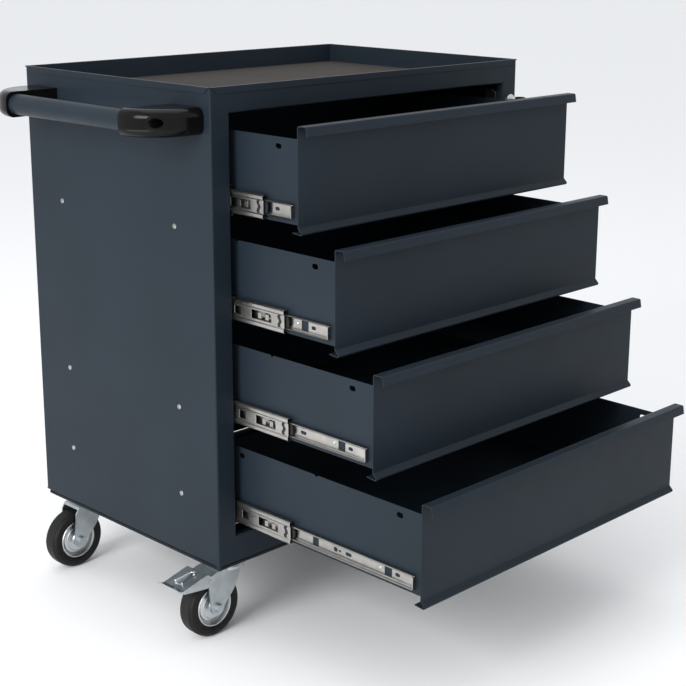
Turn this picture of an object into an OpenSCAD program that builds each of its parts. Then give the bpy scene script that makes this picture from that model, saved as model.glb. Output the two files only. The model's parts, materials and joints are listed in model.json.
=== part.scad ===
// Rolling tool chest: a folded sheet-steel cabinet with four drawers on ball-bearing
// slides, a rimmed tray on top, a push handle on the left side and four swivel casters.
// The drawers are drawn pulled out in a staircase, which is the rest pose.

/* [Cabinet] */
// Width across the two side panels
body_w = 686; // [640:2:760]
// Depth from the front face to the back face
body_d = 460; // [452:2:520]
// Height from the bottom edge to the tray rim
body_h = 734; // [730:1:780]
// Thickness of the folded sheet steel
sheet = 1.5; // [1.2:0.1:1.8]
// Width of the front posts beside the drawers
post_w = 35.5; // [34:0.5:37]
// Height of the rail above the drawers
top_rail_h = 38.6; // [38.6:0.1:40]
// Height of the rail below the drawers
bottom_rail_h = 49.3; // [46:0.1:50]
// Depth from the tray rim down to the mat
tray_depth = 32.5; // [28:0.5:32.5]

/* [Drawers] */
// Height from one drawer front to the next
drawer_pitch = 160.4; // [158:0.2:160.4]
// Height of a drawer front's flat panel
front_h = 141.8; // [136:0.2:142]
// How far each drawer is pulled out, from the top one down
pulled_out = [139, 212, 286, 378]; // [0:1:385]
// Length of a slide
slide_len = 400; // [396:1:405]
// How far each slide's middle member is run out, from the top one down
middle_out = [73, 115, 122, 125]; // [0:1:190]

/* [Handle] */
// Distance from the side panel to the middle of the tube
handle_reach = 75; // [65:1:85]
// Outside diameter of the tube
handle_dia = 32; // [26:1:34]

/* [Casters] */
// Wheel diameter
wheel_dia = 100; // [96:1:101]
// Width of the tyre
tyre_w = 31; // [26:1:31]
// Distance from the swivel axis back to the axle
caster_trail = 37.8; // [34:0.1:40]
// Height from the floor to the top of the mounting plate
caster_h = 128; // [127:0.5:132]

/* [Hidden] */

$fn = 48;
paint = "#3c4248";
dark_paint = "#2a2e33";
zinc = "#b9bdc0";
black = "#1a1a1c";
bend_r = 2;
hair = 0.01;           // how far a cutter runs past a face

// Heights, from the floor up
lip_h = 3;             // the base pan's lip hangs this far below its plate
base_z = caster_h - lip_h;
rim_z = base_z + body_h;
skirt_h = 9.25;        // where the panels start to fold under
fold_r = 4;            // radius of that fold
pan_z = base_z + lip_h;
mat_t = 1.5;
mat_z = rim_z - tray_depth;
open_top = rim_z - top_rail_h;
open_bottom = base_z + bottom_rail_h;
tray_under = mat_z - mat_t - sheet;

// Drawer fronts
front_gap = 2.6;       // between a front and the posts
front_clear_top = 5.2; // between the top front and the rail
front_l = post_w + front_gap;
front_w = body_w - 2 * front_l;
lip_out = 15.6;        // finger lip, forward
lip_down = 13;
lip_lean = 2.2;        // the strip leans outwards by this much
flare = 10;            // bottom flare, forward and down
flare_back = 12;       // its return, behind the panel
function front_top(k) = open_top - front_clear_top - (k - 1) * drawer_pitch;
function front_bottom(k) = front_top(k) - front_h;
function front_y(k) = -pulled_out[k - 1];

// Slides, seen from the front: x counts from the cabinet side towards the drawer
slide_x = post_w + 0.8;
slide_w = 12.7;
slide_t = 1.2;
slide_rise = 19.5;     // slide centre above the front panel's bottom
cabinet_member_y = 8;
inner_setback = 20;    // from the drawer front to the inner member's end
inner_len = slide_len - 15;
middle_len = slide_len - 20;
function slide_z(k) = front_bottom(k) + slide_rise;

// Drawer boxes
box_l = slide_x + slide_w;
box_len = 415;
box_drop = 20.5;       // side's top edge below the front's top
box_lift = 1;          // box bottom above the front panel's bottom
side_hole_ys = [51, 378];
side_hole_drop = 33.5;
side_hole_r = 4;
notch_y = 216;
notch = 5;

// Uprights that carry the slides
upright_ys = [87, 374];
upright_w = 24;
rivet_zs = [103.5, 244.3, 524.4];
rivet_head_r = 4.2;
rivet_r = 2.1;
rivet_proud = 1.2;
rivet_grip = 2 * sheet;
back_rivet_x = 8.5;    // from each side
back_rivet_zs = [40, 200, 360, 520, 680];

// Handle
handle_z = rim_z - 48.5;
bracket_h = 40;
bracket_edge_r = 13;
bracket_swing = 74;    // plan radius of the elbow
bracket_cover = 4;     // bracket past the tube's outer edge
bracket_base = handle_reach + handle_dia / 2 + bracket_cover - bracket_swing; // its straight part
bracket_margin = 14;   // from the cabinet's edge to the bracket
socket_depth = 16;
handle_screw_y = 20;   // screw, from the bracket's outer side
handle_screw_up = 2;
handle_screw_r = 3;
handle_screw_head_r = 5;
handle_screw_head = 4;  // height of the head, and of the nut inside
handle_screw_well_r = 7;
handle_screw_seat = 12; // thickness under the screw's head

// Lock
lock_x = body_w - post_w / 2;
lock_z = base_z + 664;
lock_r = 9;
plug_r = 6;            // the cylinder that turns
plug_front = -5;
plug_end = 14;
drive = 5;             // its square end, which turns the cam
key_t = 2;
key_h = 7.6;
key_front = -19;
key_end = 8;
cam_t = 2.5;
cam_half = 3.5;
cam_y = 17;
cam_throw = 10;
cam_pin_r = 2.2;
bar_lift = cam_throw * sqrt(2);
bar_x = body_w - post_w + 3.5;
bar_y = 24;
bar_w = 16;
bar_t = 2;
guide_t = 1.2;
guide_h = 12;
guide_zs = [front_bottom(4) + 100, front_bottom(2) + 120];
catch_rise = 75;       // catch above the front panel's bottom
catch_h = 10;
catch_out = 10;        // reach of a catch, out of the drawer's side
catch_y = 29;          // catch behind the drawer front
hook_gap = 1;

// Casters
wheel_r = wheel_dia / 2;
rim_r = 34;
swivel_x = 55.5;
swivel_y = 47.4;
fork_t = 2.5;
fork_half = 22;
axle_r = 4;
king_r = 6;
king_gap = 0.4;
king_head = 3;
dome_r = 27;
dome_top_r = 23;
dome_gap = 0.3;
run_fit = 0.05;
crown_z = 106;
race_z = 110;
dome_z = 119;
plate_l = 95;
plate_w = 85;
plate_t = 3;
bolt_span_x = 75;
bolt_span_y = 60;
bolt_r = 4;
bolt_hole_r = 4.25;
bolt_end = 9.5;        // above the base pan's plate
pedal_pin_x = -54;
pedal_pin_z = 98.7;
pedal_pin_r = 3;
ear_r = 8;             // round the pin, on the fork
caster_names = ["front_left", "front_right", "back_left", "back_right"];
braked_count = 2;      // the first ones, at the front
caster_xs = [swivel_x, body_w - swivel_x, swivel_x, body_w - swivel_x];
caster_ys = [swivel_y, swivel_y, body_d - swivel_y, body_d - swivel_y];

// The origin is on the floor, below the middle of the whole object's box at rest
reach_left = bracket_base + bracket_swing;
reach_front = max(pulled_out) + lip_out + lip_lean + sheet / 2 * cos(atan(lip_lean / lip_down));
origin_x = (body_w + sheet - reach_left) / 2;
origin_y = (body_d + sheet - reach_front) / 2;

// ---------- helpers ----------

function unit(v) = v / norm(v);
function left_of(a, b) = let (d = unit(b - a)) [-d[1], d[0]];

// Point i of a path, moved sideways by h with mitred corners
function moved(path, i, h) =
    i == 0 ? path[0] + h * left_of(path[0], path[1]) :
    i == len(path) - 1 ? path[i] + h * left_of(path[i - 1], path[i]) :
    let (n1 = left_of(path[i - 1], path[i]))
    let (m = unit(n1 + left_of(path[i], path[i + 1])))
    path[i] + m * (h / (m * n1));

// Points of the arc that rounds the corner at b
function corner(a, b, c, r, steps) =
    let (d1 = unit(a - b), d2 = unit(c - b))
    let (half = acos(d1 * d2) / 2)
    let (centre = b + unit(d1 + d2) * r / sin(half))
    let (v1 = b + d1 * r / tan(half) - centre, v2 = b + d2 * r / tan(half) - centre)
    let (a1 = atan2(v1[1], v1[0]), turn = (atan2(v2[1], v2[0]) - a1 + 540) % 360 - 180)
    [for (i = [0:steps]) centre + r * [cos(a1 + turn * i / steps), sin(a1 + turn * i / steps)]];

function rounded(path, r, steps = 3) = [
    path[0],
    for (i = [1:len(path) - 2]) each corner(path[i - 1], path[i], path[i + 1], r, steps),
    path[len(path) - 1],
];

// Folded sheet: a line with thickness
module folded(path, t) {
    n = len(path) - 1;
    polygon(concat(
        [for (i = [0:n]) moved(path, i, t / 2)],
        [for (i = [n:-1:0]) moved(path, i, -t / 2)]));
}

// Extrusions of an XZ outline along Y, and of a YZ outline along X
module along_y(y0, y1) {
    translate([0, y1, 0])
        rotate([90, 0, 0])
            linear_extrude(y1 - y0)
                children();
}
module along_x(x0, x1) {
    translate([x0, 0, 0])
        rotate([90, 0, 90])
            linear_extrude(x1 - x0)
                children();
}
module box_between(low, high) {
    translate(low)
        cube(high - low);
}

// The same thing on the cabinet's right-hand side
module right_hand() {
    translate([body_w, 0, 0])
        mirror([1, 0, 0])
            children();
}
module both_hands() {
    children();
    right_hand()
        children();
}
module front_and_back() {
    children();
    translate([0, body_d, 0])
        mirror([0, 1, 0])
            children();
}
module placed() {
    translate([-origin_x, -origin_y, 0])
        children();
}
module hex(r, h) {
    cylinder(r = r, h = h, $fn = 6);
}
module y_rod(r, y0, y1) {
    translate([0, y1, 0])
        rotate([90, 0, 0])
            cylinder(r = r, h = y1 - y0);
}
module x_rod(r, x0, x1) {
    translate([x0, 0, 0])
        rotate([0, 90, 0])
            cylinder(r = r, h = x1 - x0);
}

// ---------- cabinet ----------

fold_reach = 9;        // the inward flange along the bottom
post_return = 13;
back_flange = 15;
rail_l = post_w - bend_r; // where the rails start: the posts' returns are cut away behind them
corner_foot = 6;

// Outline of the fold under a panel's bottom edge, going inwards
module bottom_fold() {
    mid = sheet / 2;
    folded(rounded([
        [mid, base_z + skirt_h + hair],
        [mid, pan_z + sheet + mid],
        [fold_reach, pan_z + sheet + mid],
    ], fold_r, 5), sheet);
}

module left_panel() {
    mid = sheet / 2;
    wrap = [
        [post_w - mid, post_return],
        [post_w - mid, mid],
        [mid, mid],
        [mid, body_d - mid],
        [back_flange, body_d - mid],
    ];
    difference() {
        union() {
            translate([0, 0, base_z + skirt_h])
                linear_extrude(body_h - skirt_h - sheet)
                    folded(rounded(wrap, bend_r), sheet);
            along_y(corner_foot, body_d)
                bottom_fold();
            translate([post_w, 0, 0])
                rotate([0, 0, 90])
                    along_y(0, post_w - corner_foot)
                        bottom_fold();
            translate([0, 0, base_z])
                linear_extrude(skirt_h + hair)
                    folded(rounded([[corner_foot, mid], [mid, mid], [mid, corner_foot]], bend_r), sheet);
        }
        box_between([sheet, sheet, tray_under], [post_w + sheet, body_d - sheet, rim_z]);
        for (span = [[base_z, open_bottom], [open_top, rim_z]])
            box_between([rail_l, -hair, span[0] - hair], [post_w + hair, post_return + hair, span[1]]);
        upright_rivet_places()
            rivet_hole(sheet);
        back_rivet_places()
            rivet_hole(sheet);
    }
}
module left_side_panel() {
    color(paint)
        difference() {
            left_panel();
            handle_screw_places()
                x_rod(handle_screw_r, -hair, sheet + hair);
        }
}

module right_side_panel() {
    color(paint)
        difference() {
            right_hand()
                left_panel();
            translate([lock_x, 0, lock_z])
                y_rod(lock_r, -1, sheet + 1);
        }
}

module back_panel() {
    color(paint)
        difference() {
            box_between(
                [sheet + bend_r, body_d - 2 * sheet, pan_z + 2 * sheet],
                [body_w - sheet - bend_r, body_d - sheet, rim_z - sheet]);
            both_hands()
                box_between(
                    [0, body_d - 3 * sheet, pan_z],
                    [fold_reach, body_d, base_z + skirt_h]);
            both_hands()
                back_rivet_places()
                    rivet_hole(rivet_grip);
        }
}

// A rail across the front, between the posts, with a return flange at its free edge
module front_rail(z_free, z_far) {
    mid = sheet / 2;
    inward = z_free < z_far ? mid : -mid;
    along_x(rail_l, body_w - rail_l)
        folded(rounded([
            [post_return, z_free + inward],
            [mid, z_free + inward],
            [mid, z_far],
        ], bend_r), sheet);
}
module front_top_rail() {
    color(paint)
        front_rail(open_top, rim_z - sheet);
}
module front_bottom_rail() {
    color(paint) {
        front_rail(open_bottom, base_z + skirt_h);
        translate([body_w - rail_l, 0, 0])
            rotate([0, 0, 90])
                along_y(0, body_w - 2 * rail_l)
                    bottom_fold();
    }
}

module base_pan() {
    inset = sheet;
    color(dark_paint)
        difference() {
            box_between([inset, inset, base_z], [body_w - inset, body_d - inset, pan_z + sheet]);
            box_between(
                [inset + sheet, inset + sheet, base_z - hair],
                [body_w - inset - sheet, body_d - inset - sheet, pan_z]);
            both_hands()
                front_and_back()
                    box_between(
                        [0, 0, base_z - hair],
                        [corner_foot + hair, corner_foot + hair, base_z + skirt_h]);
            caster_bolt_places()
                cylinder(r = bolt_hole_r, h = 2 * rim_z, center = true);
        }
}

tray_wall = 2 * sheet;  // from a panel's outer face to the tray wall's inner face
tray_back = tray_wall + sheet;  // the same at the back, where the back panel is further in
hem_h = 9.5;
hem_miter = 9;
hem_gap = 3;

// Hem strip folded down outside one panel's top edge, as an outline of length l
module hem_outline(l) {
    polygon([
        [hem_gap, rim_z],
        [l - hem_gap, rim_z],
        [l - hem_gap - hem_miter, rim_z - hem_h],
        [hem_gap + hem_miter, rim_z - hem_h],
    ]);
}
module top_tray() {
    color(paint) {
        difference() {
            box_between(
                [sheet, sheet, tray_under],
                [body_w - sheet, body_d - tray_back + sheet, rim_z]);
            box_between(
                [tray_wall, tray_wall, mat_z - mat_t],
                [body_w - tray_wall, body_d - tray_back, rim_z + hair]);
        }
        difference() {
            box_between([-sheet, -sheet, rim_z - sheet], [body_w + sheet, body_d + sheet, rim_z]);
            box_between([sheet, sheet, 0], [body_w - sheet, body_d - tray_back + sheet, rim_z + hair]);
            both_hands()
                front_and_back()
                    rotate([0, 0, 45])
                        cube([4 * hem_gap, 2 * sheet, 3 * rim_z], center = true);
        }
        front_and_back()
            along_y(-sheet, 0)
                hem_outline(body_w);
        both_hands()
            along_x(-sheet, 0)
                hem_outline(body_d);
    }
}
module tray_mat() {
    play = 0.5;
    color("#4b4844")
        box_between(
            [tray_wall + play, tray_wall + play, mat_z - mat_t],
            [body_w - tray_wall - play, body_d - tray_back - play, mat_z]);
}

module slide_uprights() {
    foot = pan_z + sheet + bolt_end + 2;
    head = tray_under - 2;
    color(dark_paint)
        both_hands()
            for (y = upright_ys)
                difference() {
                    box_between([sheet, y - upright_w / 2, foot], [slide_x, y + upright_w / 2, head]);
                    box_between(
                        [2 * sheet, y - upright_w / 2 + sheet, foot - hair],
                        [slide_x - sheet, y + upright_w / 2 - sheet, head + hair]);
                    upright_rivet_places()
                        rivet_hole(rivet_grip);
                }
}

// A blind rivet along +X: domed head outside, shank, and a collar inside
module rivet() {
    collar_r = 1.5 * rivet_r;
    collar_end = rivet_grip + 2;
    rotate([0, 90, 0])
        rotate_extrude()
            polygon([
                [0, -rivet_proud], [rivet_head_r * 0.55, -rivet_proud],
                [rivet_head_r * 0.85, -rivet_proud * 0.7], [rivet_head_r, 0],
                [rivet_r, 0], [rivet_r, rivet_grip],
                [collar_r, rivet_grip], [collar_r, collar_end], [0, collar_end],
            ]);
}
module rivet_hole(depth) {
    translate([-hair, 0, 0])
        rotate([0, 90, 0])
            cylinder(r = rivet_r, h = depth + 2 * hair);
}
module upright_rivet_places() {
    for (y = upright_ys, z = rivet_zs)
        translate([0, y, base_z + z])
            children();
}
module upright_rivets() {
    color(zinc)
        both_hands()
            upright_rivet_places()
                rivet();
}
module back_rivet_places() {
    for (z = back_rivet_zs)
        translate([back_rivet_x, body_d, base_z + z])
            rotate([0, 0, -90])
                children();
}
module back_rivets() {
    color(zinc)
        both_hands()
            back_rivet_places()
                rivet();
}

// ---------- slides ----------

// Half outlines of the three members, from the centre line up, mirrored into whole ones
outer_half = [[0.6, 0], [0.6, 20.6], [2, 22.2], [9.6, 22.2], [10.8, 20.8]];
middle_half = [[3.8, 0], [3.8, 9.6], [2.3, 11.4], [2.3, 15.4], [3.8, 16.9], [9, 16.9], [10, 15.9]];
inner_half = [[12.1, 0], [12.1, 8.2], [10.9, 10.4], [6.6, 10.4], [5.6, 9.4]];
cabinet_ovals = [60, 190, 330];                  // where each starts
middle_windows = [[27, 70, 13], [93, 107, 12], [200, 240, 10]];  // from, to, height
inner_windows = [[43, 57, 15], [189, 201, 15]];
inner_ovals = [[28, 37, 2.6], [122, 134, 2.6], [143, 147.5, 1.6], [150, 158, 3.4], [300, 312, 2.6]];
inner_turned = 7;      // the inner member's front end is turned towards the cabinet side
function whole(half) = concat(
    [for (i = [len(half) - 1:-1:1]) [half[i][0], -half[i][1]]],
    [for (i = [1:len(half) - 1]) half[i]]);

module member(half, z, y0, length) {
    translate([slide_x, 0, z])
        along_y(y0, y0 + length)
            folded(whole(half), slide_t);
}
// A window through a member's web, from y0 to y1 and h high
module window(z, y0, y1, h) {
    box_between([slide_x - 1, y0, z - h / 2], [slide_x + slide_w + 1, y1, z + h / 2]);
}
// A slot with round ends, of radius r
module oval(z, y0, y1, r) {
    for (y = [y0 + r, y1 - r])
        translate([slide_x - 1, y, z])
            rotate([0, 90, 0])
                cylinder(r = r, h = slide_w + 2);
    window(z, y0 + r, y1 - r, 2 * r);
}

module slide_cabinet_members() {
    color(zinc)
        both_hands()
            for (k = [1:4])
                difference() {
                    member(outer_half, slide_z(k), cabinet_member_y, slide_len);
                    for (y = cabinet_ovals)
                        oval(slide_z(k), cabinet_member_y + y, cabinet_member_y + y + 14, 3);
                }
}
module slide_middle(k) {
    y0 = cabinet_member_y - middle_out[k - 1];
    z = slide_z(k);
    color(zinc)
        both_hands()
            difference() {
                member(middle_half, z, y0, middle_len);
                for (w = middle_windows)
                    window(z, y0 + w[0], y0 + w[1], w[2]);
            }
}
module slide_inner(k) {
    y0 = front_y(k) + inner_setback;
    z = slide_z(k);
    color(zinc)
        both_hands() {
            difference() {
                member(inner_half, z, y0, inner_len);
                for (w = inner_windows)
                    window(z, y0 + w[0], y0 + w[1], w[2]);
                for (o = inner_ovals)
                    oval(z, y0 + o[0], y0 + o[1], o[2]);
            }
            box_between(
                [slide_x + slide_w - inner_turned, y0 - slide_t, z - 9],
                [slide_x + slide_w, y0 + hair, z + 9]);
        }
}

// ---------- drawers ----------

module drawer_body(k) {
    y0 = front_y(k) + sheet;
    y1 = front_y(k) + box_len;
    z0 = front_bottom(k) + box_lift;
    z1 = front_top(k) - box_drop;
    color(paint) {
        difference() {
            box_between([box_l, y0, z0], [body_w - box_l, y1, z1]);
            box_between(
                [box_l + sheet, y0 - hair, z0 + sheet],
                [body_w - box_l - sheet, y1 - sheet, z1 + hair]);
            for (y = side_hole_ys)
                for (dy = [-2, 2])
                    translate([0, front_y(k) + y + dy, front_top(k) - side_hole_drop])
                        rotate([0, 90, 0])
                            cylinder(r = side_hole_r, h = body_w);
            translate([0, front_y(k) + notch_y, z1])
                rotate([45, 0, 0])
                    cube([2 * body_w, notch, notch], center = true);
        }
        box_between(
            [body_w - box_l, front_y(k) + catch_y, front_bottom(k) + catch_rise],
            [body_w - box_l + catch_out, front_y(k) + catch_y + 2, front_bottom(k) + catch_rise + catch_h]);
    }
}

module drawer_front(k) {
    mid = sheet / 2;
    y = front_y(k);
    zt = front_top(k) - mid;
    zb = front_bottom(k);
    color(paint)
        along_x(front_l, front_l + front_w)
            folded(rounded([
                [y - lip_out - lip_lean, zt - lip_down],
                [y - lip_out, zt],
                [y + mid, zt],
                [y + mid, zb],
                [y + mid - flare, zb - flare],
                [y + flare_back, zb - flare + 2],
            ], bend_r), sheet);
}

// ---------- handle ----------

// Half section of the elbow: flat inside, with rounded outer edges
module bracket_section() {
    r = bracket_edge_r;
    half = bracket_h / 2;
    polygon([
        [0, -half],
        for (a = [-90:15:0]) [bracket_swing - r + r * cos(a), -half + r + r * sin(a)],
        for (a = [0:15:90]) [bracket_swing - r + r * cos(a), half - r + r * sin(a)],
        [0, half],
    ]);
}
module front_handle_screw_place() {
    translate([0, bracket_margin + handle_screw_y, handle_z + handle_screw_up])
        children();
}
module handle_screw_places() {
    front_and_back()
        front_handle_screw_place()
            children();
}
module handle_bracket() {
    inner_y = bracket_margin + bracket_swing;
    color(black)
        difference() {
            union() {
                translate([-bracket_base, inner_y, handle_z])
                    rotate([0, 0, 180])
                        rotate_extrude(angle = 90, $fn = 72)
                            bracket_section();
                translate([0, inner_y, handle_z])
                    rotate([0, 0, 180])
                        along_x(0, bracket_base)
                            bracket_section();
            }
            translate([-handle_reach, 0, handle_z])
                y_rod(handle_dia / 2, inner_y - socket_depth, inner_y + 1);
            front_handle_screw_place() {
                x_rod(handle_screw_well_r, -reach_left, -handle_screw_seat);
                x_rod(handle_screw_r, -handle_screw_seat - 1, 1);
            }
        }
}
module handle_bracket_front() { handle_bracket(); }
module handle_bracket_rear() {
    translate([0, body_d, 0])
        mirror([0, 1, 0])
            handle_bracket();
}
module handle_tube() {
    start = bracket_margin + bracket_swing - socket_depth;
    color(paint)
        translate([-handle_reach, 0, handle_z])
            difference() {
                y_rod(handle_dia / 2, start, body_d - start);
                y_rod(handle_dia / 2 - 1.5, start - 1, body_d - start + 1);
            }
}
module handle_screws() {
    color(zinc)
        handle_screw_places() {
            x_rod(handle_screw_r, -handle_screw_seat, sheet + 6);
            x_rod(handle_screw_head_r + 0.5, sheet, sheet + handle_screw_head);
            difference() {
                x_rod(handle_screw_head_r, -handle_screw_seat - handle_screw_head, -handle_screw_seat);
                translate([-handle_screw_seat - handle_screw_head - 1, 0, 0])
                    rotate([0, 90, 0])
                        hex(handle_screw_r, 3);
            }
        }
}

// ---------- lock ----------

module at_lock() {
    translate([lock_x, 0, lock_z])
        children();
}
module lock_housing() {
    color(zinc)
        at_lock()
            difference() {
                union() {
                    y_rod(lock_r + 2.5, -4, 0);
                    y_rod(lock_r, 0, plug_end - 1);
                    y_rod(lock_r + 3, sheet, 3 * sheet);
                }
                y_rod(plug_r + run_fit, plug_front, plug_end);
            }
}
module lock_cylinder() {
    color(zinc)
        at_lock()
            difference() {
                union() {
                    y_rod(plug_r, plug_front, plug_end);
                    translate([-drive / 2, plug_end, -drive / 2])
                        cube([drive, cam_y - plug_end, drive]);
                }
                key_blank(0.1);
            }
}
module key_blank(play) {
    box_between(
        [-key_t / 2 - play, key_front, -key_h / 2 - play],
        [key_t / 2 + play, key_end, key_h / 2 + play]);
}
module key_blade() {
    color(zinc)
        at_lock()
            key_blank(0);
}
module key_head() {
    color(black)
        at_lock()
            difference() {
                hull() {
                    translate([-3, -24, -8])
                        cube([6, 8, 16]);
                    translate([0, -29, 0])
                        rotate([0, 90, 0])
                            cylinder(r = 9, h = 6, center = true, $fn = 32);
                }
                key_blank(0);
                translate([0, -31, 0])
                    x_rod(2.5, -4, 4);
            }
}
module lock_cam() {
    color(zinc)
        at_lock()
            difference() {
                union() {
                    y_rod(2 * cam_half, cam_y - cam_t, cam_y);
                    rotate([0, -45, 0]) {
                        box_between([0, cam_y - cam_t, -cam_half], [cam_throw, cam_y, cam_half]);
                        translate([cam_throw, 0, 0]) {
                            y_rod(cam_half, cam_y - cam_t, cam_y);
                            y_rod(cam_pin_r, cam_y, cam_y + 6);
                        }
                    }
                }
                translate([0, cam_y, 0])
                    cube([drive, 2 * drive, drive], center = true);
            }
}

// The bar is drawn raised, which is the unlocked position
module lock_bar() {
    yoke_z = lock_z + cam_throw / sqrt(2);
    yoke_half = 8;
    slot_half = cam_pin_r + 0.6;
    color(zinc) {
        box_between(
            [bar_x, bar_y, front_bottom(4) + catch_rise],
            [bar_x + bar_t, bar_y + bar_w, yoke_z + 12]);
        difference() {
            box_between([bar_x, cam_y + 1, yoke_z - yoke_half], [body_w - 4, cam_y + 3, yoke_z + yoke_half]);
            box_between(
                [lock_x - 4, cam_y, yoke_z - slot_half],
                [lock_x + cam_throw + 4, cam_y + 4, yoke_z + slot_half]);
        }
        box_between([bar_x, cam_y + 1, yoke_z - yoke_half], [bar_x + bar_t, bar_y + 1, yoke_z + yoke_half]);
        for (k = [1:4])
            box_between(
                [body_w - box_l + 4, catch_y - hook_gap - 3, front_bottom(k) + catch_rise + bar_lift],
                [bar_x + bar_t, catch_y - hook_gap, front_bottom(k) + catch_rise + bar_lift + catch_h]);
    }
}
module lock_bar_guides() {
    play = 0.3;
    color(dark_paint)
        for (z = guide_zs)
            difference() {
                box_between(
                    [bar_x - play - guide_t, bar_y - 4, z],
                    [body_w - sheet, bar_y + bar_w + 4, z + guide_h]);
                box_between(
                    [bar_x - play, bar_y - play, z - 1],
                    [bar_x + bar_t + play, bar_y + bar_w + play, z + guide_h + 1]);
                box_between(
                    [bar_x + 4, bar_y - 4 + guide_t, z - 1],
                    [body_w - sheet - guide_t, bar_y + bar_w + 4 - guide_t, z + guide_h + 1]);
            }
}

// ---------- casters ----------

module at_caster(i) {
    translate([caster_xs[i - 1], caster_ys[i - 1], 0])
        children();
}
module at_axle() {
    translate([-caster_trail, 0, wheel_r])
        children();
}
module bolt_places() {
    for (x = [-0.5, 0.5], y = [-0.5, 0.5])
        translate([x * bolt_span_x, y * bolt_span_y, 0])
            children();
}
module caster_bolt_places() {
    for (i = [1:4])
        at_caster(i)
            bolt_places()
                children();
}
module caster_plates() {
    color(zinc)
        for (i = [1:4])
            at_caster(i) {
                difference() {
                    translate([-plate_l / 2, -plate_w / 2, pan_z - plate_t])
                        cube([plate_l, plate_w, plate_t]);
                    bolt_places()
                        cylinder(r = bolt_hole_r, h = 2 * caster_h);
                }
                translate([0, 0, dome_z])
                    cylinder(r1 = dome_top_r, r2 = dome_r, h = pan_z - plate_t - dome_z + hair);
                translate([0, 0, crown_z - king_gap])
                    cylinder(r = king_r, h = dome_z - crown_z + 1);
                translate([0, 0, crown_z - king_gap - king_head])
                    cylinder(r = king_r + 3, h = king_head);
            }
}
module caster_bolts() {
    head_h = 5.3;
    nut_h = 6.5;
    hex_r = 7.4;
    color(zinc)
        caster_bolt_places() {
            translate([0, 0, pan_z - plate_t - head_h])
                hex(hex_r, head_h);
            translate([0, 0, pan_z - plate_t - 1])
                cylinder(r = bolt_r, h = 1 + plate_t + sheet + bolt_end);
            translate([0, 0, pan_z + sheet])
                hex(hex_r, nut_h);
        }
}

// Plan outline of the fork: two parallel legs that close to a rounded nose in front
nose_start = -24;
nose_end = 32;
function fork_plan(half, nose) = concat(
    [[-70, -half], [nose_start, -half]],
    [for (a = [-75:15:75]) [nose_start + (nose - nose_start) * cos(a), half * sin(a)]],
    [[nose_start, half], [-70, half]]);

// Side outline of the legs. A braked fork has an ear for the pedal's pin
module fork_side(braked) {
    leg_r = 12.5;
    polygon([
        [-caster_trail - leg_r, wheel_r],
        for (a = [195:15:345]) [-caster_trail + leg_r * cos(a), wheel_r + leg_r * sin(a)],
        [-caster_trail + leg_r, wheel_r],
        [-3, 72],
        [19.6, crown_z],
        [nose_end, crown_z + 1],
        [nose_end, race_z],
        [-38, race_z],
        if (!braked) [-45, crown_z - 6],
        if (braked) each [
            for (a = [75:30:255]) [pedal_pin_x + ear_r * cos(a), pedal_pin_z + ear_r * sin(a)],
        ],
    ]);
}
module fork(i) {
    braked = i <= braked_count;
    color(zinc)
        at_caster(i)
            difference() {
                union() {
                    intersection() {
                        difference() {
                            linear_extrude(race_z)
                                polygon(fork_plan(fork_half, nose_end));
                            translate([0, 0, -1])
                                linear_extrude(crown_z + 1)
                                    polygon(fork_plan(fork_half - fork_t, nose_end - fork_t));
                        }
                        along_y(-fork_half - 1, fork_half + 1)
                            fork_side(braked);
                    }
                    translate([0, 0, crown_z])
                        cylinder(r = dome_r, h = race_z - crown_z);
                    translate([0, 0, race_z - hair])
                        cylinder(r1 = dome_r, r2 = dome_top_r, h = dome_z - race_z - dome_gap);
                }
                translate([0, 0, crown_z - 1])
                    cylinder(r = king_r + run_fit, h = dome_z - crown_z + 2);
                at_axle()
                    y_rod(axle_r, -fork_half - 1, fork_half + 1);
                if (braked)
                    translate([pedal_pin_x, 0, pedal_pin_z])
                        y_rod(pedal_pin_r + run_fit, -fork_half - 1, fork_half + 1);
            }
}
module axle(i) {
    nut = 5;
    color(zinc)
        at_caster(i)
            at_axle() {
                y_rod(axle_r, -fork_half - nut, fork_half + nut + 1);
                for (side = [0, 180])
                    rotate([0, 0, side]) {
                        y_rod(8.5, -fork_half - 1.6, -fork_half);
                        translate([0, -fork_half - 1.5, 0])
                            rotate([90, 0, 0])
                                hex(7.2, nut - 1);
                    }
            }
}
module rim(i) {
    hub_half = fork_half - fork_t - 0.5;
    bed_half = 12;
    color(zinc)
        at_caster(i)
            at_axle()
                rotate([90, 0, 0])
                    rotate_extrude($fn = 72)
                        polygon([
                            [axle_r + run_fit, -hub_half], [9, -hub_half], [10.5, -hub_half + 2],
                            [11, -9], [14, -6], [22, -6], [25, -9], [27.5, -13], [30.5, -14.5],
                            [32, -14.5], [rim_r, -bed_half], [rim_r, bed_half], [32, 14.5],
                            [30.5, 14.5], [27.5, 13], [25, 9], [22, 6], [14, 6], [11, 9],
                            [10.5, hub_half - 2], [9, hub_half], [axle_r + run_fit, hub_half],
                        ]);
}
module tyre(i) {
    half = tyre_w / 2;
    shoulder = 6;
    crown = 1.2;
    turn_r = wheel_r - crown - shoulder;  // centre of the shoulder's rounding
    turn_y = half - shoulder;
    color(black)
        at_caster(i)
            at_axle()
                rotate([90, 0, 0])
                    rotate_extrude($fn = 96)
                        polygon([
                            [rim_r, -12],
                            [rim_r + 3, -half + 1],
                            for (a = [-90:18:-18]) [turn_r + shoulder * cos(a), -turn_y + shoulder * sin(a)],
                            [wheel_r, -turn_y + 3],
                            [wheel_r, turn_y - 3],
                            for (a = [18:18:90]) [turn_r + shoulder * cos(a), turn_y + shoulder * sin(a)],
                            [rim_r + 3, half - 1],
                            [rim_r, 12],
                        ]);
}
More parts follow.
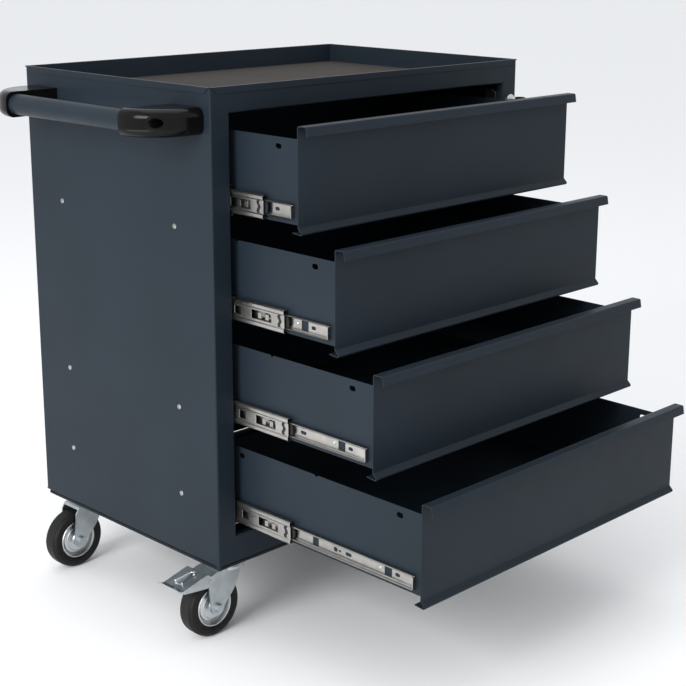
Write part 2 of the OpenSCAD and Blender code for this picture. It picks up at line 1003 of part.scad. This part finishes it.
module brake_pedal(i) {
    wall = 2;
    gap = 0.3;
    inner = fork_half + gap;
    outer = inner + wall;
    tip_x = -106;
    tread = [[-60, 112.4], [tip_x, 100.5], [-112, 100.8], [-119, 105.5]];
    color(zinc)
        at_caster(i) {
            for (y0 = [-outer, inner])
                along_y(y0, y0 + wall)
                    polygon([
                        [-60, 113.4], [tip_x, 101.4], [tip_x + 1, 95.7],
                        [-62, 91],
                        for (a = [240:20:400])
                            [pedal_pin_x + (ear_r + 1) * cos(a), pedal_pin_z + (ear_r + 1) * sin(a)],
                    ]);
            along_y(-outer, outer)
                folded(rounded(tread, 3), wall);
            along_y(-fork_half + fork_t + gap, fork_half - fork_t - gap)
                folded([[-62, 111], [-66, 103], [-63, 96.2]], wall);
            for (side = [0, 180])
                translate([pedal_pin_x, 0, pedal_pin_z])
                    rotate([0, 0, side]) {
                        y_rod(pedal_pin_r, fork_half - fork_t - gap, outer);
                        y_rod(pedal_pin_r + 1.6, outer - hair, outer + 1.3);
                    }
        }
}

placed() left_side_panel();
placed() right_side_panel();
placed() back_panel();
placed() front_top_rail();
placed() front_bottom_rail();
placed() base_pan();
placed() top_tray();
placed() tray_mat();
placed() slide_uprights();
placed() upright_rivets();
placed() back_rivets();
placed() slide_cabinet_members();
placed() handle_tube();
placed() handle_bracket_front();
placed() handle_bracket_rear();
placed() handle_screws();
placed() lock_housing();
placed() lock_cylinder();
placed() key_blade();
placed() key_head();
placed() lock_cam();
placed() lock_bar();
placed() lock_bar_guides();
placed() caster_plates();
placed() caster_bolts();
for (k = [1:4]) {
    placed() drawer_body(k);
    placed() drawer_front(k);
    placed() slide_inner(k);
    placed() slide_middle(k);
}
for (i = [1:4]) {
    placed() fork(i);
    placed() axle(i);
    placed() rim(i);
    placed() tyre(i);
}
for (i = [1:braked_count])
    placed() brake_pedal(i);
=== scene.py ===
import json
import math

import bmesh
import bpy
from mathutils import Matrix, Vector


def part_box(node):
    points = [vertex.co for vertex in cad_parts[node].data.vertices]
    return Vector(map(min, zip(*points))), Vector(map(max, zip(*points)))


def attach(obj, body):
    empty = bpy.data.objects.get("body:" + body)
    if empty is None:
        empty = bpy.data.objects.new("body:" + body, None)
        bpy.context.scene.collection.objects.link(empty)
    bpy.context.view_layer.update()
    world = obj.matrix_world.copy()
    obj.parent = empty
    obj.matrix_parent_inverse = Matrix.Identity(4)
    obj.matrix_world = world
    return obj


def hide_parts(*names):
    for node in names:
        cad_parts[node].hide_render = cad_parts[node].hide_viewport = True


# A rolling tool chest. The CAD nodes of folded sheet are shown again with rounded edges, and the
# tube, elbows, rims and tyres are built again in finer meshes. Small pieces that the CAD leaves out
# are added on the slides and the brake pedals. The other CAD nodes only get their materials.

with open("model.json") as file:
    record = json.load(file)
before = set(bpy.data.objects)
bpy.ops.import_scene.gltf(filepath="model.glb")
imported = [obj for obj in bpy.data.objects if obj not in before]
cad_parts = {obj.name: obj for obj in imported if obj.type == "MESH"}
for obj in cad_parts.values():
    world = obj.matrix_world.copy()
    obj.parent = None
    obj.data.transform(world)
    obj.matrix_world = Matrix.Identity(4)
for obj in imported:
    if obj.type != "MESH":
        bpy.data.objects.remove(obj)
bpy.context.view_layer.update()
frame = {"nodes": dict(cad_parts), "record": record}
RECORD = frame["record"]
BODY_OF = {node: body for body, nodes in RECORD["behaviour"]["bodies"].items() for node in nodes}
SLOT_OF = {part["node"]: part["material_slot"] for part in RECORD["subparts"]}
MM = 0.001
CASTERS = ("front_left", "front_right", "back_left", "back_right")
BRAKED = CASTERS[:2]
DRAWERS = (1, 2, 3, 4)


# ---------- materials ----------

class Look:
    """A material with a Principled shader, and short calls for adding and joining its nodes."""

    # The part of its range that a noise mostly keeps to
    NOISE_LOW = 0.3
    NOISE_HIGH = 0.7

    def __init__(self, name, colour, roughness, metallic=0.0, specular=0.5):
        self.material = bpy.data.materials.new(name)
        self.material.use_nodes = True
        self.tree = self.material.node_tree
        self.shader = self.tree.nodes["Principled BSDF"]
        self.material.diffuse_color = (*colour, 1.0)
        self.shader.inputs["Base Color"].default_value = (*colour, 1.0)
        self.shader.inputs["Roughness"].default_value = roughness
        self.shader.inputs["Metallic"].default_value = metallic
        self.shader.inputs["Specular IOR Level"].default_value = specular
        self.colour = colour
        self.roughness = roughness

    def add(self, kind, **settings):
        """A new shader node, with its inputs or else its attributes set by name."""
        node = self.tree.nodes.new(kind)
        for key, value in settings.items():
            if key in node.inputs:
                node.inputs[key].default_value = value
            else:
                setattr(node, key, value)
        return node

    def join(self, source, target):
        self.tree.links.new(source, target)

    def place(self, scale=(1.0, 1.0, 1.0)):
        """Object coordinates in metres, stretched by scale."""
        coords = self.add("ShaderNodeTexCoord")
        mapping = self.add("ShaderNodeMapping")
        mapping.inputs["Scale"].default_value = scale
        self.join(coords.outputs["Object"], mapping.inputs["Vector"])
        return mapping.outputs["Vector"]

    def noise(self, place, scale, detail=3.0):
        node = self.add("ShaderNodeTexNoise", Scale=scale, Detail=detail)
        self.join(place, node.inputs["Vector"])
        return node.outputs["Fac"]

    def between(self, value, low, high):
        """A noise value, mapped to low..high."""
        node = self.add("ShaderNodeMapRange")
        node.inputs["From Min"].default_value = self.NOISE_LOW
        node.inputs["From Max"].default_value = self.NOISE_HIGH
        node.inputs["To Min"].default_value = low
        node.inputs["To Max"].default_value = high
        self.join(value, node.inputs["Value"])
        return node.outputs["Result"]

    def vary_roughness(self, value, spread):
        result = self.between(value, self.roughness - spread, self.roughness + spread)
        self.join(result, self.shader.inputs["Roughness"])

    def vary_colour(self, value, dark, light):
        """The base colour, from dark to light times itself."""
        ramp = self.add("ShaderNodeValToRGB")
        ramp.color_ramp.elements[0].position = self.NOISE_LOW
        ramp.color_ramp.elements[1].position = self.NOISE_HIGH
        ramp.color_ramp.elements[0].color = (*[dark * c for c in self.colour], 1.0)
        ramp.color_ramp.elements[1].color = (*[light * c for c in self.colour], 1.0)
        self.join(value, ramp.inputs["Fac"])
        self.join(ramp.outputs["Color"], self.shader.inputs["Base Color"])

    def bump(self, height, strength, distance):
        node = self.add("ShaderNodeBump", Strength=strength, Distance=distance)
        self.join(height, node.inputs["Height"])
        self.join(node.outputs["Normal"], self.shader.inputs["Normal"])


def powder_coat(name, colour, roughness):
    """Satin powder coat: a fine orange-peel skin with faint cloudiness."""
    look = Look(name, colour, roughness, specular=0.11)
    place = look.place()
    look.vary_colour(look.noise(place, 7.0), 0.93, 1.07)
    look.vary_roughness(look.noise(place, 40.0), 0.03)
    look.bump(look.noise(place, 900.0, 2.0), 0.12, 0.2 * MM)
    return look.material


def zinc_plate(name, colour, roughness, grain):
    """Rolled and plated steel: fine lines along the strip and cloudy patches of plating."""
    look = Look(name, colour, roughness, metallic=1.0)
    lines = look.noise(look.place(grain), 60.0, 4.0)
    look.vary_colour(look.noise(look.place(), 55.0, 4.0), 0.86, 1.1)
    look.vary_roughness(lines, 0.07)
    look.bump(lines, 0.1, 0.1 * MM)
    return look.material


def bright_plate(name, colour, roughness):
    """Polished plating with faint swirls."""
    look = Look(name, colour, roughness, metallic=1.0)
    swirls = look.noise(look.place(), 120.0, 5.0)
    look.vary_colour(swirls, 0.96, 1.03)
    look.vary_roughness(swirls, 0.03)
    look.bump(swirls, 0.006, 0.05 * MM)
    return look.material


def moulded(name, colour, roughness, specular, grain_strength):
    """Moulded plastic or rubber with a fine pebbled skin."""
    look = Look(name, colour, roughness, specular=specular)
    place = look.place()
    look.vary_colour(look.noise(place, 90.0), 0.85, 1.15)
    look.vary_roughness(look.noise(place, 30.0), 0.05)
    look.bump(look.noise(place, 1400.0, 2.0), grain_strength, 0.15 * MM)
    return look.material


def mat_rubber(name, colour):
    """A soft mat: pebbled cells with a slightly dusty surface."""
    look = Look(name, colour, 0.85, specular=0.1)
    place = look.place()
    cells = look.add("ShaderNodeTexVoronoi", Scale=420.0)
    look.join(place, cells.inputs["Vector"])
    look.vary_colour(look.noise(place, 260.0, 5.0), 0.7, 1.3)
    look.vary_roughness(look.noise(place, 9.0), 0.06)
    look.bump(cells.outputs["Distance"], 0.5, 0.4 * MM)
    return look.material


def floor_paint(name):
    """Matt, nearly white paint with faint changes in gloss."""
    look = Look(name, (0.9, 0.9, 0.9), 0.8, specular=0.1)
    look.vary_roughness(look.noise(look.place(), 3.0), 0.05)
    return look.material


PAINT = (0.013, 0.0194, 0.027)
LOOKS = {
    "paint": powder_coat("satin_powder_coat", PAINT, 0.4),
    # dark_paint is the same satin powder coat darkened: painted shade for parts that sit in shade
    "dark_paint": powder_coat("painted_shade_powder_coat", (0.008, 0.011, 0.014), 0.5),
    "mat": mat_rubber("tray_mat_rubber", (0.048, 0.044, 0.04)),
    "slide_zinc": zinc_plate("slide_zinc_plate", (0.37, 0.36, 0.34), 0.3, (1.0, 0.05, 1.0)),
    "caster_zinc": zinc_plate("caster_zinc_plate", (0.5, 0.54, 0.56), 0.36, (0.3, 1.0, 1.0)),
    "rim_zinc": bright_plate("rim_plate", (0.6, 0.62, 0.63), 0.3),
    "lock_metal": bright_plate("lock_plate", (0.62, 0.62, 0.62), 0.25),
    "elbow_black": moulded("elbow_gloss_plastic", (0.0035, 0.0035, 0.0037), 0.17, 0.14, 0.015),
    "key_black": moulded("key_plastic", (0.007, 0.007, 0.0075), 0.42, 0.3, 0.08),
    "tyre_black": moulded("tyre_rubber", (0.0075, 0.0073, 0.007), 0.55, 0.22, 0.12),
}


# ---------- building pieces ----------

SHARP = math.radians(35)
BEVEL_SEGMENTS = 2


def arc(degrees):
    """The angles of an arc in radians."""
    return [math.radians(a) for a in degrees]


def new_object(name, mesh):
    piece = bpy.data.objects.new(name, mesh)
    bpy.context.scene.collection.objects.link(piece)
    return piece


def shade(bm):
    """Smooth faces, with sharp edges wherever the surface turns a corner."""
    for face in bm.faces:
        face.smooth = True
    for edge in bm.edges:
        turn = edge.calc_face_angle(math.pi) if len(edge.link_faces) == 2 else math.pi
        edge.smooth = turn < SHARP


def from_bmesh(name, bm, bevel=0.0):
    """An object from bm, with its corners rounded by bevel metres."""
    bmesh.ops.recalc_face_normals(bm, faces=bm.faces)
    shade(bm)
    mesh = bpy.data.meshes.new(name)
    bm.to_mesh(mesh)
    bm.free()
    piece = new_object(name, mesh)
    if bevel:
        rounding = piece.modifiers.new("corners", "BEVEL")
        rounding.width = bevel
        rounding.segments = BEVEL_SEGMENTS
        rounding.limit_method = "ANGLE"
        rounding.angle_limit = SHARP
        rounding.use_clamp_overlap = True
    weighted = piece.modifiers.new("normals", "WEIGHTED_NORMAL")
    weighted.keep_sharp = True
    return piece


def settle(piece, node):
    """Gives a piece the look, slot and body of the CAD node that it stands for."""
    piece.data.materials.append(LOOKS[SLOT_OF[node]])
    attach(piece, BODY_OF[node])
    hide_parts(node)
    return piece


def refined(node, bevel):
    """The CAD node again, with whole flat faces and rounded edges."""
    same_point = 0.002 * MM
    still_flat = math.radians(0.6)
    bm = bmesh.new()
    bm.from_mesh(frame["nodes"][node].data)
    bmesh.ops.remove_doubles(bm, verts=bm.verts, dist=same_point)
    bmesh.ops.dissolve_limit(bm, angle_limit=still_flat, verts=bm.verts, edges=bm.edges)
    return settle(from_bmesh(node + "_folded", bm, bevel), node)


def lathed(name, profile, centre, bevel, steps=112):
    """A closed (radius, offset) outline turned about a line along Y through centre."""
    bm = bmesh.new()
    rings = []
    for step in range(steps):
        angle = 2 * math.pi * step / steps
        side, up = math.cos(angle), math.sin(angle)
        rings.append([
            bm.verts.new(centre + Vector((radius * side, offset, radius * up)))
            for radius, offset in profile
        ])
    count = len(profile)
    for step in range(steps):
        ring, after = rings[step], rings[(step + 1) % steps]
        for i in range(count):
            j = (i + 1) % count
            bm.faces.new((ring[i], ring[j], after[j], after[i]))
    return from_bmesh(name, bm, bevel)


def middle(node):
    low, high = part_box(node)
    return (low + high) / 2


def half_size(node):
    low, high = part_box(node)
    return (high - low) / 2


# ---------- sheet metal and fittings ----------

SHEET_EDGE = 0.35 * MM
PANELS = [
    "left_side_panel", "right_side_panel", "back_panel", "front_top_rail", "front_bottom_rail",
    "base_pan", "top_tray", "slide_uprights", "slide_cabinet_members", "lock_bar",
]
PANELS += [f"drawer_{k}_{part}" for k in DRAWERS
           for part in ("body", "front", "slide_inner", "slide_middle")]
PANELS += [f"{caster}_caster_fork" for caster in CASTERS]
PANELS += [f"{caster}_brake_pedal" for caster in BRAKED]


def sheet_metal():
    """The folded and pressed parts, with the rounded edges of bent sheet."""
    for node in PANELS:
        refined(node, SHEET_EDGE)


def plain_nodes(rebuilt):
    """The CAD nodes whose shape is right as it is, with their finished looks."""
    for node, shown in frame["nodes"].items():
        if node in PANELS or node in rebuilt:
            continue
        shown.data.materials.clear()
        shown.data.materials.append(LOOKS[SLOT_OF[node]])


# ---------- wheels ----------

def mirrored(half):
    """A closed outline from its half on the +offset side, which runs outwards."""
    return half + [(radius, -offset) for radius, offset in reversed(half)]


def tyre(caster):
    """A moulded tyre: a raised ring with a fine line round each wall, and a groove by each shoulder."""
    node = f"{caster}_caster_tyre"
    size = half_size(node)
    radius, half = size.z, size.y
    bore = half_size(f"{caster}_caster_rim").z
    seat = 11.9 * MM
    wall = half - 0.9 * MM
    groove = 0.7 * MM
    line = 0.35 * MM
    shoulder = 6 * MM
    turn_radius = radius - 1.2 * MM - shoulder
    bend = [
        (turn_radius + shoulder * math.sin(a), half - shoulder + shoulder * math.cos(a))
        for a in arc(range(8, 73, 16))
    ]
    half_outline = [
        (bore, seat),
        (bore + 3 * MM, wall - 0.1 * MM),
        (bore + 4.0 * MM, wall),
        (bore + 4.2 * MM, wall - line),
        (bore + 4.8 * MM, wall - line),
        (bore + 5.0 * MM, wall + 0.5 * MM),
        *bend,
        (radius - 0.6 * MM, half - 4.4 * MM),
        (radius - 0.6 * MM - groove, half - 4.9 * MM),
        (radius - 0.5 * MM - groove, half - 5.7 * MM),
        (radius - 0.3 * MM, half - 6.3 * MM),
        (radius, half - 9.0 * MM),
    ]
    return settle(lathed(node + "_moulded", mirrored(half_outline), middle(node), 0.25 * MM), node)


def rim(caster):
    """A pressed rim: the hub, a stepped dish, a deep groove and the rolled edge that holds the tyre."""
    node = f"{caster}_caster_rim"
    size = half_size(node)
    outer, hub = size.z, size.y
    axle_hole = 4.05 * MM
    half_outline = [
        (axle_hole, hub),
        (8.6 * MM, hub),
        (10.2 * MM, hub - 1.6 * MM),
        (11.0 * MM, 12.4 * MM),
        (15.0 * MM, 11.2 * MM),
        (20.5 * MM, 11.0 * MM),
        (21.2 * MM, 10.0 * MM),
        (24.0 * MM, 9.4 * MM),
        (25.6 * MM, 8.8 * MM),
        (26.6 * MM, 5.4 * MM),
        (28.8 * MM, 5.0 * MM),
        (29.5 * MM, 8.0 * MM),
        (30.1 * MM, 13.2 * MM),
        (31.0 * MM, 14.3 * MM),
        (32.2 * MM, 14.4 * MM),
        (33.0 * MM, 13.6 * MM),
        (outer, 11.8 * MM),
    ]
    return settle(lathed(node + "_pressed", mirrored(half_outline), middle(node), 0.3 * MM), node)


# ---------- handle ----------

def tube():
    """The push handle's tube, open at both ends inside the elbows."""
    node = "handle_tube"
    wall = 1.5 * MM
    size = half_size(node)
    outer, end = size.z, size.y
    inner = outer - wall
    profile = [(outer, end), (outer, -end), (inner, -end), (inner, end)]
    return settle(lathed("handle_tube_drawn", profile, middle(node), 0.2 * MM, 64), node)


def elbow(node, towards):
    """A swept elbow: towards is +1 if the tube is on its +Y side, -1 if on its -Y side."""
    low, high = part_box(node)
    swing = high.y - low.y
    half = (high.z - low.z) / 2
    base = high.x - low.x - swing
    edge = 13 * MM
    inside = 2 * MM
    taper = 0.5 * MM
    centre = swing - edge
    corner = arc(range(0, 91, 10))
    section = [(inside, -half + taper)]
    section += [(centre + edge * math.sin(a), -half + edge - edge * math.cos(a)) for a in corner]
    section += [(centre + edge * math.cos(a), half - edge + edge * math.sin(a)) for a in corner]
    section += [(inside, half - taper)]
    pivot = Vector((high.x - base, high.y if towards > 0 else low.y, (low.z + high.z) / 2))
    bm = bmesh.new()
    stations = []
    steps = 36
    for step in range(steps + 1):
        angle = math.pi / 2 * step / steps
        out = Vector((-math.cos(angle), -towards * math.sin(angle), 0))
        stations.append((pivot, out))
    stations.append((pivot + Vector((base, 0, 0)), Vector((0, -towards, 0))))
    rings = [
        [bm.verts.new(start + out * reach + Vector((0, 0, up))) for reach, up in section]
        for start, out in stations
    ]
    for ring, after in zip(rings, rings[1:]):
        for i in range(len(section)):
            j = (i + 1) % len(section)
            bm.faces.new((ring[i], ring[j], after[j], after[i]))
    bm.faces.new(rings[0])
    bm.faces.new(rings[-1])
    return settle(from_bmesh(node + "_moulded", bm), node)


def cut_round(piece, start, direction, radius, depth):
    """Bores a round hole into a piece with a cutter that isn't shown."""
    bm = bmesh.new()
    turn = direction.to_track_quat("Z", "Y").to_matrix().to_4x4()
    place = Matrix.Translation(start + direction * depth / 2) @ turn
    bmesh.ops.create_cone(
        bm, cap_ends=True, segments=40, radius1=radius, radius2=radius, depth=depth, matrix=place)
    mesh = bpy.data.meshes.new("cutter")
    bm.to_mesh(mesh)
    bm.free()
    cutter = new_object("cutter", mesh)
    boolean = piece.modifiers.new("bore", "BOOLEAN")
    boolean.object = cutter
    boolean.operation = "DIFFERENCE"
    boolean.solver = "EXACT"
    bpy.context.view_layer.update()
    graph = bpy.context.evaluated_depsgraph_get()
    piece.modifiers.move(len(piece.modifiers) - 1, 0)
    graph.update()
    done = bpy.data.meshes.new_from_object(piece.evaluated_get(graph))
    piece.modifiers.clear()
    piece.data = done
    bpy.data.objects.remove(cutter)


def elbows():
    """Both elbows, each with the socket for the tube and the deep hole for its screw."""
    tube_axis = middle("handle_tube")
    tube_radius = half_size("handle_tube").z
    socket_play = 0.15 * MM
    socket_start = 5 * MM
    socket_depth = 21 * MM
    screw_inset = 5 * MM
    screw_hole = 7 * MM
    screw_floor = 12 * MM
    clear = 5 * MM
    screws_low, screws_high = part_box("handle_screws")
    screw_z = (screws_low.z + screws_high.z) / 2
    for node, towards in (("handle_bracket_front", 1), ("handle_bracket_rear", -1)):
        piece = elbow(node, towards)
        low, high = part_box(node)
        mouth = high.y if towards > 0 else low.y
        screw_y = screws_low.y + screw_inset if towards > 0 else screws_high.y - screw_inset
        cut_round(
            piece, Vector((tube_axis.x, mouth + towards * socket_start, tube_axis.z)),
            Vector((0, -towards, 0)), tube_radius + socket_play, socket_depth)
        cut_round(
            piece, Vector((low.x - clear, screw_y, screw_z)),
            Vector((1, 0, 0)), screw_hole, high.x - low.x + clear - screw_floor)


# ---------- slide and pedal details ----------

SLIDE_SHEET = 1.5 * MM
SLIDE_WEB_DEPTH = 6.5 * MM


def drawn_plate(name, outline, thickness, place, bevel=0.15 * MM):
    """A plate cut to an outline of (u, v) points; place maps (u, v, depth) to the frame."""
    bm = bmesh.new()
    near = [bm.verts.new(place(u, v, 0.0)) for u, v in outline]
    far = [bm.verts.new(place(u, v, thickness)) for u, v in outline]
    bm.faces.new(near)
    bm.faces.new(reversed(far))
    count = len(outline)
    for i in range(count):
        j = (i + 1) % count
        bm.faces.new((near[j], near[i], far[i], far[j]))
    return from_bmesh(name, bm, bevel)


def dress(piece, slot, body):
    """Gives a piece with no CAD node of its own a look, slot and body."""
    piece.data.materials.append(LOOKS[slot])
    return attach(piece, body)


def slide_details(k, hand):
    """What shows at a middle member's front end: cage end, the wavy slot as a thin black plate (painted
    shade) and the cage's tabs.
    """
    node = f"drawer_{k}_slide_middle"
    low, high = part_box(node)
    side = -1 if hand == "left" else 1
    outer_x = low.x if side < 0 else high.x
    web_x = outer_x - side * SLIDE_SHEET
    front_y, mid_z = low.y, (low.z + high.z) / 2
    body = BODY_OF[node]

    def at_web(depth):
        """Maps (back from the front end, up, depth) to the frame, from the web's inner face."""
        return lambda u, v, t: Vector((web_x - side * (depth + t), front_y + u, mid_z + v))

    reach, back, tall, bulge, thick = 6.2 * MM, 3 * MM, 8.6 * MM, 4 * MM, 3.2 * MM
    nose = [(-reach + bulge - bulge * math.cos(a), tall * math.sin(a)) for a in arc(range(-80, 81, 20))]
    cage = [(back, -tall), *nose, (back, tall)]
    dress(drawn_plate(f"slide_cage_end_{k}_{hand}", cage, thick, at_web(thick)), "key_black", body)

    middle_y, sway, slot_half, slot_tall = 9.5 * MM, 1.5 * MM, 3 * MM, 9.2 * MM
    shade_sheet, proud = 0.3 * MM, 0.2 * MM
    wave = [
        (middle_y + sway * math.sin(3 * math.pi * t), slot_tall * (2 * t - 1))
        for t in [i / 16 for i in range(17)]
    ]
    ribbon = [(u - slot_half, v) for u, v in wave] + [(u + slot_half, v) for u, v in reversed(wave)]
    # The wavy slot is a thin black plate 0.2 mm proud of the web: painted shade standing for the dark
    # inside of the slot
    piece = drawn_plate(f"slide_wavy_slot_{k}_{hand}", ribbon, shade_sheet, at_web(-proud))
    dress(piece, "key_black", body)

    tab_long, tab_half, tab_thick, tab_sunk = 7 * MM, 4.2 * MM, 0.8 * MM, 0.4 * MM
    for number, start in enumerate((33 * MM, 49 * MM)):
        end = start + tab_long
        tab = [(start, -tab_half), (end, -tab_half), (end, tab_half), (start, tab_half)]
        piece = drawn_plate(f"slide_cage_tab_{k}_{hand}_{number + 1}", tab, tab_thick, at_web(tab_sunk))
        dress(piece, "slide_zinc", body)


def inner_stop(k, hand):
    """The small raised stop on an inner member, behind its first window."""
    node = f"drawer_{k}_slide_inner"
    low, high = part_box(node)
    side = -1 if hand == "left" else 1
    web_x = (low.x if side < 0 else high.x) - side * SLIDE_WEB_DEPTH
    from_front, above_middle = 66 * MM, 1.5 * MM
    radius, tall, sunk, edge = 2.4 * MM, 1.3 * MM, 0.2 * MM, 0.5 * MM
    centre_y, centre_z = low.y + from_front, (low.z + high.z) / 2 + above_middle
    outline = [(radius * math.cos(a), radius * math.sin(a)) for a in arc(range(0, 360, 30))]

    def on_web(u, v, t):
        return Vector((web_x + side * (t - sunk), centre_y + u, centre_z + v))

    stop = drawn_plate(f"slide_stop_{k}_{hand}", outline, tall, on_web, edge)
    dress(stop, "rim_zinc", BODY_OF[node])


def pedal_details(caster):
    """The pressed tongue on the brake pedal's tread, its two ridges and the nut."""
    node = f"{caster}_brake_pedal"
    low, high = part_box(node)
    mid_y = (low.y + high.y) / 2
    rear_to_swivel = 45 * MM
    head_x, head_z = -60 * MM, 113.4 * MM
    toe_x, toe_z = -106 * MM, 101.5 * MM
    sunk = 0.3 * MM
    swivel_x = high.x + rear_to_swivel
    head = Vector((swivel_x + head_x, mid_y, head_z))
    toe = Vector((swivel_x + toe_x, mid_y, toe_z))
    along = (toe - head).normalized()
    across = Vector((0, 1, 0))
    up = along.cross(across)
    up = up if up.z > 0 else -up

    def on_tread(u, v, t):
        """Maps (along the tread, across it, up) to the frame."""
        return head + along * u + across * v + up * (t - sunk)

    body = BODY_OF[node]
    edge = 0.4 * MM
    tongue_thick, ridge_tall, nut_tall = 1.5 * MM, 4.5 * MM, 5 * MM
    tongue = [(4 * MM, -7 * MM), (38 * MM, -10 * MM), (40 * MM, 0), (38 * MM, 10 * MM), (4 * MM, 7 * MM)]
    piece = drawn_plate(f"{caster}_pedal_tongue", tongue, tongue_thick, on_tread, edge)
    dress(piece, "caster_zinc", body)
    ridge_start, ridge_end, ridge_edge = 12 * MM, 39 * MM, 1.2 * MM
    for name, sign in (("left", -1), ("right", 1)):
        ridge = [
            (ridge_start, sign * 0.8 * MM),
            (ridge_end, sign * 6.0 * MM),
            (ridge_end, sign * 10.0 * MM),
            (ridge_start, sign * 4.4 * MM),
        ]
        piece = drawn_plate(f"{caster}_pedal_ridge_{name}", ridge, ridge_tall, on_tread, ridge_edge)
        dress(piece, "rim_zinc", body)
    nut_at, nut_radius = 7 * MM, 5.5 * MM
    nut = [(nut_at + nut_radius * math.cos(a), nut_radius * math.sin(a)) for a in arc(range(0, 360, 60))]
    dress(drawn_plate(f"{caster}_pedal_nut", nut, nut_tall, on_tread, edge), "rim_zinc", body)


# ---------- studio ----------

def studio_floor():
    """A pale floor that reaches out of sight."""
    half_side = 40.0
    bm = bmesh.new()
    bmesh.ops.create_grid(bm, x_segments=4, y_segments=4, size=half_side)
    floor = from_bmesh("studio_floor", bm)
    floor.data.materials.append(floor_paint("floor_paint"))


def area_light(name, place, target, size, power):
    """A soft rectangular light of power watts at place, turned towards target."""
    data = bpy.data.lights.new(name, "AREA")
    data.shape = "RECTANGLE"
    data.size, data.size_y = size
    data.energy = power
    light = bpy.data.objects.new(name, data)
    light.location = place
    light.rotation_euler = (Vector(target) - Vector(place)).to_track_quat("-Z", "Y").to_euler()
    bpy.context.scene.collection.objects.link(light)


def lights():
    """An even, slightly cool white room, with the brightest light on the handle's side."""
    world = bpy.data.worlds.new("studio")
    world.use_nodes = True
    background = world.node_tree.nodes["Background"]
    background.inputs["Color"].default_value = (0.95, 0.97, 1.0, 1.0)
    background.inputs["Strength"].default_value = 0.95
    bpy.context.scene.world = world
    bpy.context.scene.view_settings.view_transform = "Standard"
    area_light("key", (-3.3, -0.5, 1.9), (-0.2, -0.1, 0.4), (1.6, 1.6), 95)
    area_light("top", (0.2, 0.2, 3.4), (0.0, 0.0, 0.5), (2.4, 2.4), 20)
    area_light("low_left", (-1.7, 0.0, 0.22), (-0.3, 0.0, 0.12), (1.4, 0.3), 5)


def camera():
    """A long lens in front of the front left corner, a little above the tray."""
    place = (-1.6144, -1.6151, 1.0763)
    yaw, pitch, roll = math.radians(45.46), math.radians(14.64), math.radians(0.28)
    data = bpy.data.cameras.new("camera")
    data.sensor_width = 36.0
    data.lens = 76.5
    data.shift_x = -0.016
    data.shift_y = -0.05
    view = bpy.data.objects.new("camera", data)
    turn = Matrix.Rotation(-yaw, 4, "Z") @ Matrix.Rotation(math.pi / 2 - pitch, 4, "X")
    view.matrix_world = Matrix.Translation(place) @ turn @ Matrix.Rotation(roll, 4, "Z")
    bpy.context.scene.collection.objects.link(view)
    bpy.context.scene.camera = view


camera()
lights()
studio_floor()
sheet_metal()
tube()
elbows()
for caster in CASTERS:
    tyre(caster)
    rim(caster)
    if caster in BRAKED:
        pedal_details(caster)
for k in DRAWERS:
    for hand in ("left", "right"):
        slide_details(k, hand)
        inner_stop(k, hand)
REBUILT = ["handle_tube", "handle_bracket_front", "handle_bracket_rear"]
REBUILT += [f"{caster}_caster_{part}" for caster in CASTERS for part in ("tyre", "rim")]
plain_nodes(REBUILT)
